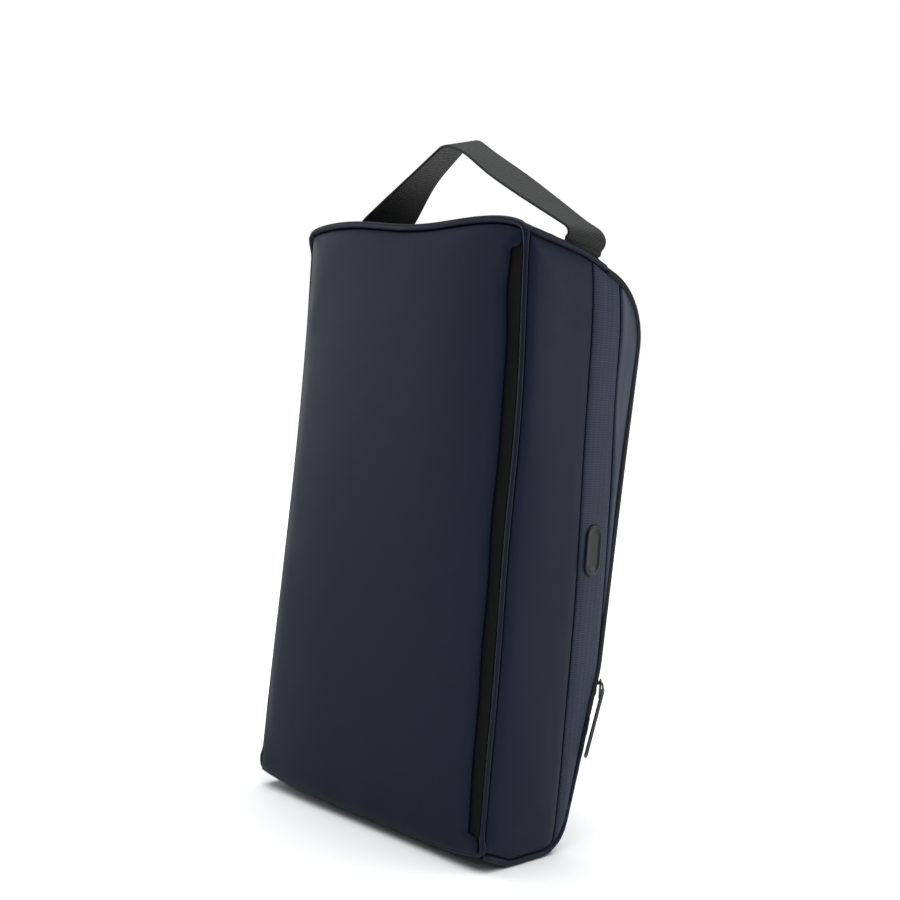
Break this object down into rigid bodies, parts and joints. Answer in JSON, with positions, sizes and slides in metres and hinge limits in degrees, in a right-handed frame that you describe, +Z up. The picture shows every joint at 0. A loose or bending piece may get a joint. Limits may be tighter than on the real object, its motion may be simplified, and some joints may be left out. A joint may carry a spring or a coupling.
{
  "type": "golf shoe bag",
  "caption": "Upright soft shoe case with a flat padded base, D-shaped sides, a zipped front flap hinged low down, a flat slip pocket and a webbing top handle.",
  "frame": {"origin": "on the floor below the middle of the bag, standing on its lower end", "axes": "+Z up to the handle; the base panel faces -Y; the zipped flap faces +Y; the parked slider is on the +X front edge"},
  "size_m": [0.1965, 0.1056, 0.4097],
  "materials": {
    "coated_navy": "smooth navy polyester with a soft satin coating",
    "ripstop_navy": "navy ripstop polyester with a fine cross rib",
    "piping_navy": "navy coated cloth over a thin cord",
    "lining_black": "black plain-woven polyester lining",
    "foam_grey": "grey closed-cell foam sheet",
    "board_black": "black polyethylene stiffener sheet",
    "tape_black": "black woven polyester zip tape and binding",
    "coil_black": "black nylon coil teeth",
    "webbing_black": "black woven polypropylene webbing",
    "rubber_black": "black moulded rubber, satin",
    "slider_black": "black painted zinc"
  },
  "bodies": {
    "shell": {"pocket_panel": "coated_navy", "pocket_backing": "lining_black", "base_foam": "foam_grey", "base_board": "board_black", "base_lining": "lining_black", "base_piping": "piping_navy", "side_rear_right": "coated_navy", "side_rear_left": "coated_navy", "side_ripstop_right": "ripstop_navy", "side_ripstop_left": "ripstop_navy", "side_front_right": "coated_navy", "side_front_left": "coated_navy", "side_lining_right": "lining_black", "side_lining_left": "lining_black", "seam_binding_right": "tape_black", "seam_binding_left": "tape_black", "badge": "rubber_black", "side_piping_top_right": "piping_navy", "side_piping_top_left": "piping_navy", "side_piping_bottom_right": "piping_navy", "side_piping_bottom_left": "piping_navy", "top_end_panel": "coated_navy", "top_end_lining": "lining_black", "lower_wrap_panel": "coated_navy", "lower_wrap_lining": "lining_black", "zip_tape_shell": "tape_black", "zip_coil_shell": "coil_black", "zip_end_stop_right": "rubber_black", "zip_end_stop_left": "rubber_black", "handle_end_right": "webbing_black", "handle_end_left": "webbing_black"},
    "flap": {"flap_panel": "coated_navy", "flap_lining": "lining_black", "zip_tape_flap": "tape_black", "zip_coil_flap": "coil_black"},
    "slider": {"zip_slider": "slider_black"},
    "pull": {"zip_pull": "slider_black"},
    "handle": {"handle_strap": "webbing_black"}
  },
  "joints": [
    {"name": "flap_hinge", "type": "hinge", "parent": "shell", "child": "flap", "pos_m": [0, 0.0395, 0.1], "axis": [-1, 0, 0], "range_deg": [0, 150]},
    {"name": "zip_travel", "type": "slide", "parent": "shell", "child": "slider", "axis": [0, 0.0646, 0.9979], "range_m": [0, 0.185]},
    {"name": "pull_swing", "type": "hinge", "parent": "slider", "child": "pull", "pos_m": [0.09723, 0.04167, 0.093], "axis": [0.7071, -0.7071, 0], "range_deg": [0, 120]},
    {"name": "handle_fold", "type": "hinge", "parent": "shell", "child": "handle", "pos_m": [0, -0.0025, 0.352], "axis": [1, 0, 0], "range_deg": [-60, 60]}
  ]
}
